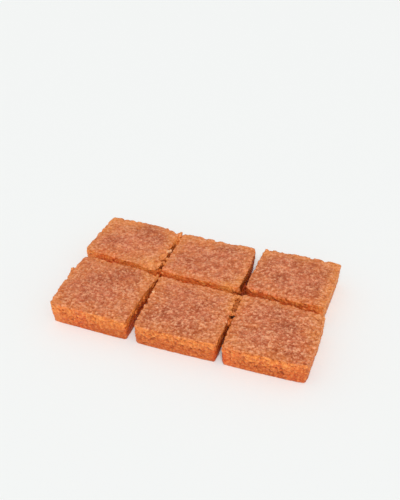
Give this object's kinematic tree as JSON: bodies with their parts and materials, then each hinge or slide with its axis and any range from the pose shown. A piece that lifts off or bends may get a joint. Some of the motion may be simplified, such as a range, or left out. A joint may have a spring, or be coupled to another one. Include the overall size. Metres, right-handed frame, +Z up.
{
  "type": "basbousa",
  "caption": "Flat slab of syrup-soaked semolina cake with a browned, grainy top, cut into squares that stay in their rows with narrow gaps between them.",
  "frame": {"origin": "the middle of the slab's footprint, on the surface it stands on", "axes": "+X along the slab's long side, to the right seen from its front row; +Y from the front row to the back row; +Z up"},
  "size_m": [0.1744, 0.1052, 0.0173],
  "materials": {
    "square_back_left": "browned semolina crust, grainy and moist with syrup, over orange crumb",
    "square_back_middle": "browned semolina crust, grainy and moist with syrup, over orange crumb",
    "square_back_right": "browned semolina crust, grainy and moist with syrup, over orange crumb",
    "square_front_left": "browned semolina crust, grainy and moist with syrup, over orange crumb",
    "square_front_middle": "browned semolina crust, grainy and moist with syrup, over orange crumb",
    "square_front_right": "browned semolina crust, grainy and moist with syrup, over orange crumb"
  },
  "bodies": {
    "root": {"square_back_left": "square_back_left", "square_back_middle": "square_back_middle", "square_back_right": "square_back_right", "square_front_left": "square_front_left", "square_front_middle": "square_front_middle", "square_front_right": "square_front_right"}
  },
  "joints": []
}
